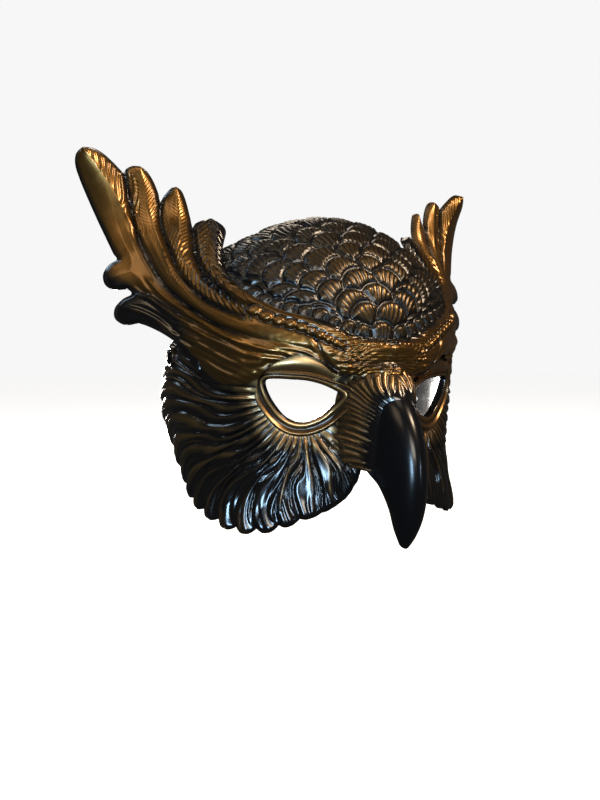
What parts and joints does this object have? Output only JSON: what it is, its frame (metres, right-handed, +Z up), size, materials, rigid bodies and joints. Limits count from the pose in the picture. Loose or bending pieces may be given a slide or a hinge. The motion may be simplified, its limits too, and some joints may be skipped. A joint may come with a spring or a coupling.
{
  "type": "owl masquerade mask",
  "caption": "Horned-owl masquerade half mask with skull cap, sweeping feathered plumes, hooked black beak, ringed eye openings and an elastic head strap.",
  "frame": {"origin": "midway between the two temple rivets, at the centre of the wearer's head", "axes": "+X is the wearer's left, -Y is the way the beak and the face point, +Z is up through the crown"},
  "size_m": [0.276, 0.2302, 0.2134],
  "materials": {
    "bronze_face": "satin antiqued bronze paint over black, worn back to black in the recesses",
    "bronze_crown": "black with bronze dry-brushed on the raised feathers, satin",
    "bronze_plume": "satin antiqued bronze paint",
    "bronze_rim": "satin bronze paint with a dark groove",
    "beak_black": "smooth satin black",
    "rivet_black": "black lacquered rivet, polished",
    "nylon": "natural nylon",
    "steel": "plain steel washer",
    "strap_leather": "black leather, fine grain",
    "elastic": "woven black elastic webbing",
    "slider_plastic": "moulded black plastic",
    "foam": "charcoal foam with a fabric face"
  },
  "bodies": {
    "mask": {"face_shell": "bronze_face", "crown_shell": "bronze_crown", "plume_right": "bronze_plume", "plume_left": "bronze_plume", "beak": "beak_black", "eye_rim_right": "bronze_rim", "eye_rim_left": "bronze_rim", "temple_rivets": "rivet_black", "spacer_washers": "nylon", "back_washers": "steel", "forehead_pad": "foam", "crown_pad": "foam", "nose_pad": "foam", "cheek_pad_right": "foam", "cheek_pad_left": "foam"},
    "strap": {"head_strap": "elastic", "strap_tab_right": "strap_leather", "strap_tab_left": "strap_leather"},
    "slider": {"strap_slider": "slider_plastic"}
  },
  "joints": [
    {"name": "strap_swing", "type": "hinge", "parent": "mask", "child": "strap", "pos_m": [0, 0, 0], "axis": [1, 0, 0], "range_deg": [-30, 8]},
    {"name": "slider_travel", "type": "hinge", "parent": "strap", "child": "slider", "pos_m": [0, 0.028, 0], "axis": [0, 0, 1], "range_deg": [-45, 100]}
  ]
}
